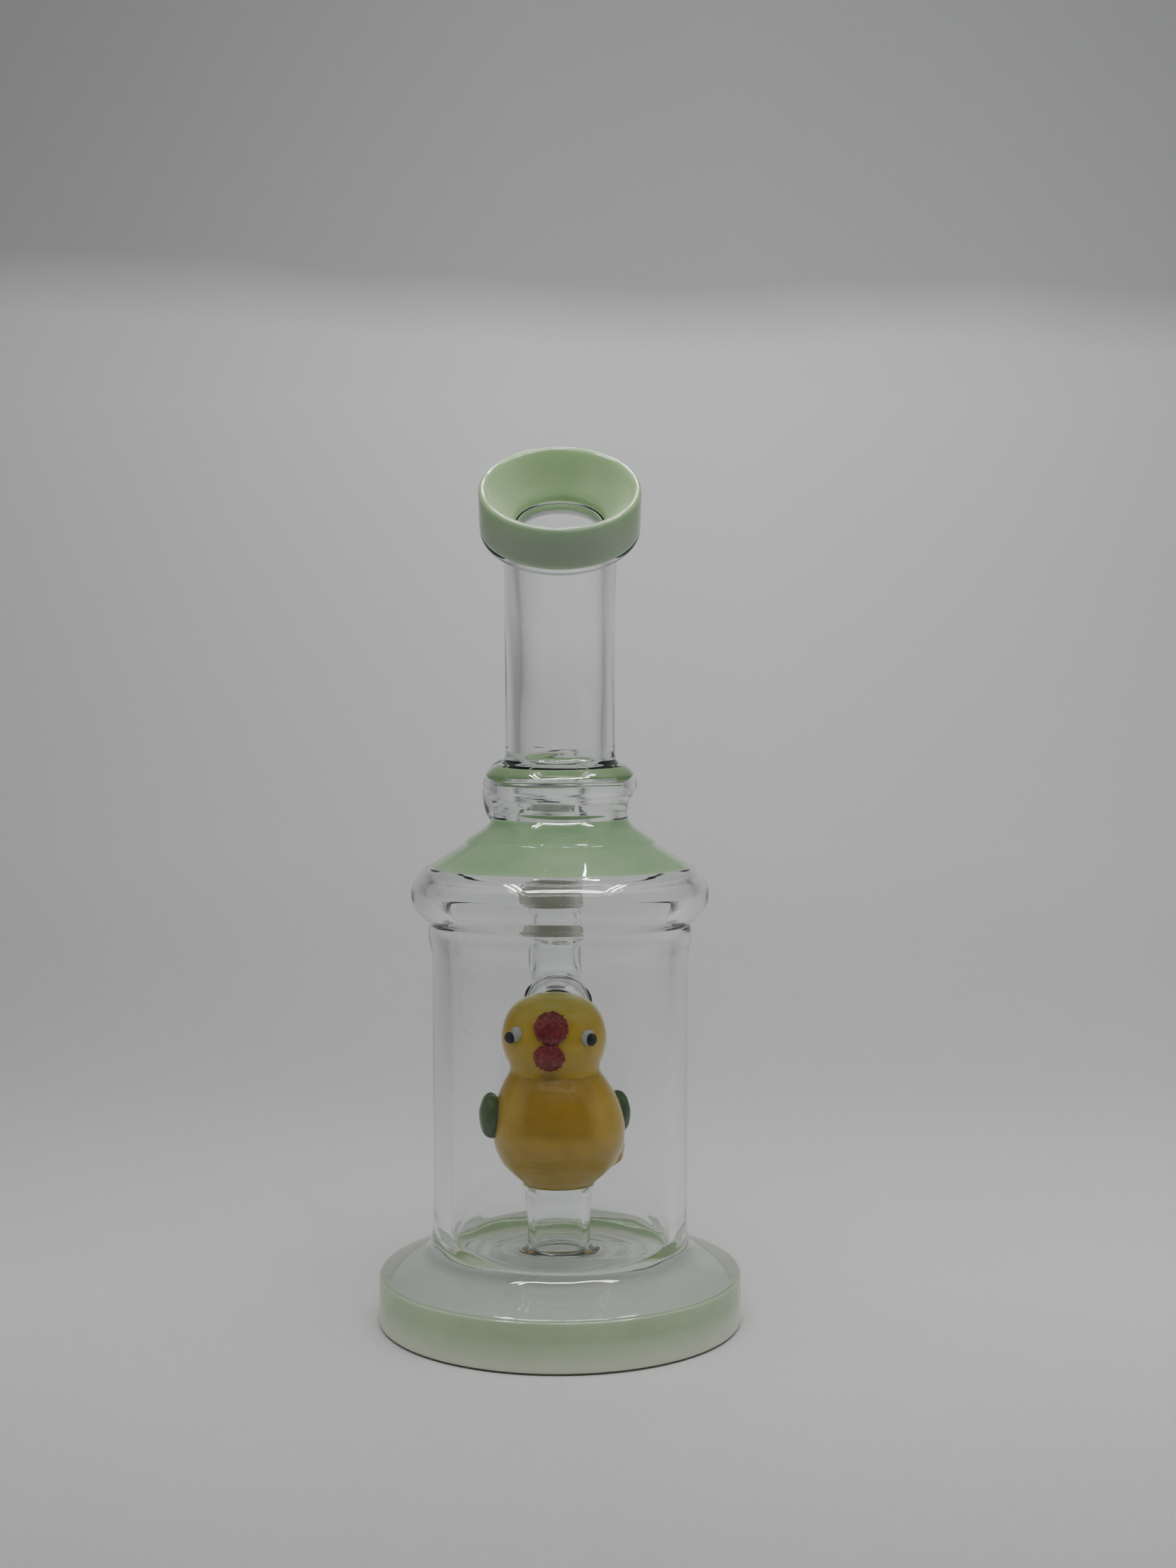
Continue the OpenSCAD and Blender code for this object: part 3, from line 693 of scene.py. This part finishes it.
c, n = on_head(115, 0, 16.6, -0.35, 50.7)
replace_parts(blob("wing_right_glass", c, n, (4.6, 5.6, 2.9), "pipe", M_WING, rough=0.03, seed=3.0), "wing_right")
c, n = on_head(116, -6, 14.3, -0.35, 43.4)
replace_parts(blob("tail_nub_glass", c, n, (4.2, 4.9, 3.9), "pipe", M_BODY, rough=0.08, seed=4.0), "tail_nub")

# ---------------------------------------------------------------- inlet, elbow, ground joint
def percolator_place(r, s, th):
    """Along the inlet, then up the elbow: one bent tube."""
    return inlet_place(r, s, th + LEAN) if s <= 35 else elbow_place(r, s - 35, th)


elbow_end = 35 + 3 + 10 * math.pi / 2 + 6
perc_w = waver(9.0, 0.09)
inlet = revolve("inlet_elbow_glass", join(
    spl([(6.9, 5.0), (7.5, 6.8), (7.95, 9.5), (8.0, 13), (8.0, 18), (8.0, 22.6), (8.1, 24.0), (8.7, 24.8), (9.4, 25.6),
         (9.75, 26.8), (9.8, 28.6), (9.8, 31.2), (9.5, 33.0), (8.8, 34.2), (8.15, 35.0), (8.0, 36), (8.0, 38)], 6)
    + line((8.0, 38), (8.0, elbow_end), 30)[1:],
    line((8.0, elbow_end), (5.95, elbow_end), 2),
    spl([(5.95, elbow_end), (5.9, elbow_end - 1.2), (5.8, elbow_end - 2.4), (5.8, elbow_end - 3.6), (5.95, elbow_end - 4.8),
         (6.3, elbow_end - 6.0), (6.7, elbow_end - 7.5)], 6) + line((6.7, elbow_end - 7.5), (6.8, 38), 26)[1:]
    + spl([(6.8, 38), (7.0, 35.2), (7.9, 33.6), (8.3, 31.2), (8.3, 28.6), (8.0, 26.6), (7.2, 25.0), (6.9, 23.0), (6.9, 18), (6.7, 11),
           (6.1, 5.0)], 6)[1:],
    line((6.1, 5.0), (6.9, 5.0), 2)),
    percolator_place, "pipe", M_INLET, seg=128, wob=perc_w)
socket = revolve("joint_socket_glass", join(
    line((5.95, 15.9), (7.9, 15.9), 2),
    spl([(7.9, 15.9), (8.3, 16.6), (8.9, 17.6), (9.25, 19), (9.3, 20.5)], 6) + line((9.3, 20.5), (9.3, 42.4), 16)[1:]
    + spl([(9.3, 42.4), (9.25, 42.9), (8.95, 43.3), (8.5, 43.4)], 5)[1:],
    line((8.5, 43.4), (7.25, 43.4), 3),
    line((7.25, 43.4), (5.95, 17.4), 20) + [(5.95, 15.9)]),
    joint_place, "pipe", M_GROUND, seg=128, wob=waver(11.0, 0.02))
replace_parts(inlet, "inlet_tube", "inlet_weld", "joint_elbow")
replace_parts(socket, "joint_socket")


def male(s):
    return 7.2 - (43.4 - s) * 0.05


bowl_stem = revolve("bowl_stem_glass", join(
    line((4.2, 15.2), (male(15.2) - 0.3, 15.2), 2) + [(male(15.3), 15.5)] + line((male(15.8), 15.8), (male(43.4), 43.4), 20)
    + spl([(male(43.4), 43.4), (7.25, 44.0), (7.7, 44.8), (8.5, 45.6)], 5)[1:],
    line((8.5, 45.6), (4.2, 45.6), 3),
    line((4.2, 45.6), (4.2, 15.2), 20)),
    joint_place, "bowl", M_GROUND, seg=128, wob=lambda r, s, th: 0.0)
bowl = revolve("bowl_cup_glass", join(
    [(2.2, 45.4)] + line((2.2, 45.4), (8.5, 45.4), 4)[1:]
    + spl([(8.5, 45.4), (10.6, 45.7), (12.9, 46.4), (15.0, 48.4), (16.1, 51.6), (16.3, 55), (15.9, 58.4), (14.9, 61.1),
           (13.3, 63.1), (11.7, 64.1), (10.4, 64.45), (9.7, 64.1), (9.45, 63.3), (10.6, 61.8), (12.3, 59.4), (13.15, 56.4),
           (12.9, 53), (11.3, 50.3), (8.2, 48.6), (4.4, 48.0), (2.9, 47.9), (2.2, 47.4)], 6)[1:],
    line((2.2, 47.4), (2.2, 45.4), 2)),
    joint_place, "bowl", M_CLEAR, seg=160, wob=waver(12.0, 0.06))
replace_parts(bowl_stem, "bowl_stem")
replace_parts(bowl, "bowl_cup")

# ---------------------------------------------------------------- stage
def stage_sheet():
    """Pale sweep: flat table top, a wide curve, then a wall. The room's light on it is painted in: the wall glows by
    itself, its top band is painted darker, the floor darker towards the camera and the left side darker than the right.
    """
    prof = [(-3.0, 0.0001), (-1.0, 0.0001), (-0.3, 0.0001), (0.0, 0.0001), (0.45, 0.0001)]
    for k in range(1, 25):
        a = k / 24 * math.pi / 2
        prof.append((0.45 + 0.55 * math.sin(a), 0.5501 - 0.55 * math.cos(a)))
    prof += [(1.0, 1.2), (1.0, 3.0)]
    bm = bmesh.new()
    rows = [[bm.verts.new((x, y, z)) for x in (-4.0, -1.0, 0.0, 1.0, 4.0)] for y, z in prof]
    for a, b in zip(rows, rows[1:]):
        for i in range(4):
            bm.faces.new((a[i], a[i + 1], b[i + 1], b[i]))
    m, nt = new_mat("pale_sweep")
    p = node(nt, "ShaderNodeBsdfPrincipled")
    pos = node(nt, "ShaderNodeTexCoord").outputs["Object"]
    sep = node(nt, "ShaderNodeSeparateXYZ")
    nt.links.new(pos, sep.inputs[0])
    soft = noise_tex(nt, pos, 3.0, 2, 0.5)
    zz = math_node(nt, "ADD", sep.outputs["Z"], math_node(nt, "MULTIPLY", math_node(nt, "SUBTRACT", soft, 0.5), 0.05))
    zz = math_node(nt, "ADD", zz, math_node(nt, "MULTIPLY", sep.outputs["X"], 0.03))
    # painted shade: above about 0.43 m the wall is painted a little darker and its glow drops, along a wavy edge that
    # tilts with x
    up = map_range(nt, zz, 0.405, 0.455, 0.0, 1.0)
    # painted shade: the floor is painted darker towards the camera, from full at the object to 0.22 about 0.36 m in
    # front
    painted_shade_near = map_range(nt, sep.outputs["Y"], 0.02, -0.36, 0.0, 1.0)
    col = mix_col(nt, up, (0.70, 0.705, 0.705), (0.66, 0.665, 0.665))
    col = mix_col(nt, painted_shade_near, col, (0.22, 0.22, 0.222))
    grain = map_range(nt, noise_tex(nt, pos, 700, 2, 0.6), 0.3, 0.7, 0.97, 1.03)
    # painted shade: the sweep is painted darker to the left and lighter to the right, on top of the fine grain
    grain = math_node(nt, "MULTIPLY", grain, map_range(nt, sep.outputs["X"], -0.3, 0.3, 0.88, 1.10))
    v = node(nt, "ShaderNodeVectorMath", operation="SCALE")
    nt.links.new(col, v.inputs[0])
    nt.links.new(grain, v.inputs["Scale"])
    nt.links.new(v.outputs[0], p.inputs["Base Color"])
    p.inputs["Roughness"].default_value = 0.6
    p.inputs["Specular IOR Level"].default_value = 0.2
    # painted light: the wall glows by itself, more strongly up to 0.36 m, dimmer in the top band and towards the sides
    wall_painted_glow = map_range(nt, sep.outputs["Z"], 0.02, 0.36, WALL_LOW, WALL_HIGH)
    wall_painted_glow = math_node(nt, "MULTIPLY", wall_painted_glow, map_range(nt, up, 0.0, 1.0, 1.0, WALL_TOP))
    wall_painted_glow = math_node(nt, "MULTIPLY", wall_painted_glow, map_range(nt, math_node(nt, "ABSOLUTE", math_node(nt, "SUBTRACT", sep.outputs["X"], 0.05)), 0.08, 0.70, 1.0, 0.22))
    wall_painted_glow = math_node(nt, "MULTIPLY", wall_painted_glow, map_range(nt, sep.outputs["Y"], 0.30, 0.70, 0.0, 1.0))
    p.inputs["Emission Color"].default_value = (0.985, 1.0, 0.995, 1)
    nt.links.new(wall_painted_glow, p.inputs["Emission Strength"])
    out(nt, p.outputs[0])
    ob = finish_mesh(bm, "pale_sweep", None, m)
    return ob


# levels of the wall's painted glow: low down, at 0.36 m, and the factor for the top band
WALL_LOW, WALL_HIGH, WALL_TOP = 0.125, 0.375, 0.37
stage_sheet()


def lamp(name, loc, aim, size, power, colour=(1, 1, 1)):
    """A soft lamp that lights the scene but isn't itself seen in the glass."""
    d = bpy.data.lights.new(name, "AREA")
    d.shape, d.size, d.size_y, d.energy, d.color = "RECTANGLE", size[0], size[1], power, colour
    o = bpy.data.objects.new(name, d)
    bpy.context.scene.collection.objects.link(o)
    o.location = loc
    o.rotation_mode = "QUATERNION"
    o.rotation_quaternion = (Vector(aim) - Vector(loc)).to_track_quat("-Z", "Y")
    o.visible_glossy = False
    o.visible_transmission = False
    return o


lamp("soft_top", (0.045, -0.14, 0.64), (0.02, 0, 0.06), (0.62, 0.46), 2.8)

# The lamp itself: a rectangle of two thin tubes overhead. The tubes are what the glass mirrors.
glow_mat, gt = new_mat("lamp_tube")
em = node(gt, "ShaderNodeEmission")
em.inputs["Color"].default_value = (1.0, 1.0, 0.99, 1)
gp = node(gt, "ShaderNodeLightPath")
# what reaches the bird through the wall and back is far weaker than the mirror image on the outside
gt.links.new(map_range(gt, gp.outputs["Ray Depth"], 2.5, 3.5, 100.0, 1.7), em.inputs["Strength"])
out(gt, em.outputs[0])
glow_mat.cycles.emission_sampling = "NONE"


def tube(name, a, b, half):
    """A flat strip from a to b that faces down."""
    a, b = Vector(a), Vector(b)
    side = (b - a).normalized().cross(Vector((0, 0, 1))) * half
    bm = bmesh.new()
    bm.faces.new([bm.verts.new(q) for q in (a - side, a + side, b + side, b - side)])
    ob = finish_mesh(bm, name, None, glow_mat)
    ob.visible_diffuse = False
    ob.visible_camera = False
    ob.visible_shadow = False
    return ob


for k, (grow, z) in enumerate(((0.0, 0.60), (0.052, 0.60))):
    x0, x1, y0 = -0.262, 0.330, -0.385 - grow
    tube("tube_front_%d" % k, (x0, y0, z), (x1, y0, z), 0.010)
    tube("tube_left_%d" % k, (x0 - 0.012 - grow, -0.375, z), (x0 + 0.040 - grow, -0.09, z), 0.010)
    tube("tube_right_%d" % k, (x1 + 0.012 + grow, -0.375, z), (x1 - 0.025 + grow, -0.09, z), 0.010)
# a smaller fitting further back
tube("tube_back", (-0.09, 0.075, 0.60), (0.13, 0.075, 0.60), 0.010)
tube("tube_back_left", (-0.056, 0.115, 0.60), (-0.056, 0.205, 0.60), 0.007)
tube("tube_back_mid", (0.020, 0.125, 0.60), (0.034, 0.175, 0.60), 0.005)
tube("tube_back_right", (0.068, 0.115, 0.60), (0.072, 0.205, 0.60), 0.007)

WORLD_SIDE, WORLD_TOP, WORLD_ROOM = 0.28, 0.50, 0.045
world = bpy.data.worlds.new("studio")
bpy.context.scene.world = world
world.use_nodes = True
wn = world.node_tree
wn.nodes.clear()
tc = node(wn, "ShaderNodeTexCoord")
sp = node(wn, "ShaderNodeSeparateXYZ")
wn.links.new(tc.outputs["Generated"], sp.inputs[0])
flat = math_node(wn, "SQRT", math_node(wn, "ADD", math_node(wn, "MULTIPLY", sp.outputs["X"], sp.outputs["X"]),
                                       math_node(wn, "MULTIPLY", sp.outputs["Y"], sp.outputs["Y"])))
ahead = math_node(wn, "DIVIDE", math_node(wn, "MULTIPLY", sp.outputs["Y"], -1.0), math_node(wn, "MAXIMUM", flat, 0.001))
room = map_range(wn, ahead, 0.42, 0.54, 0.0, 1.0)
room = math_node(wn, "MULTIPLY", room, map_range(wn, sp.outputs["Z"], 0.60, 0.72, 1.0, 0.0))
high = map_range(wn, sp.outputs["Z"], -0.1, 0.9, WORLD_SIDE, WORLD_TOP)
lev = math_node(wn, "ADD", math_node(wn, "MULTIPLY", high, math_node(wn, "SUBTRACT", 1.0, room)), math_node(wn, "MULTIPLY", room, WORLD_ROOM))
bg = node(wn, "ShaderNodeBackground")
bg.inputs["Color"].default_value = (0.985, 1.0, 0.995, 1)
wn.links.new(lev, bg.inputs["Strength"])
wo = node(wn, "ShaderNodeOutputWorld")
wn.links.new(bg.outputs[0], wo.inputs["Surface"])
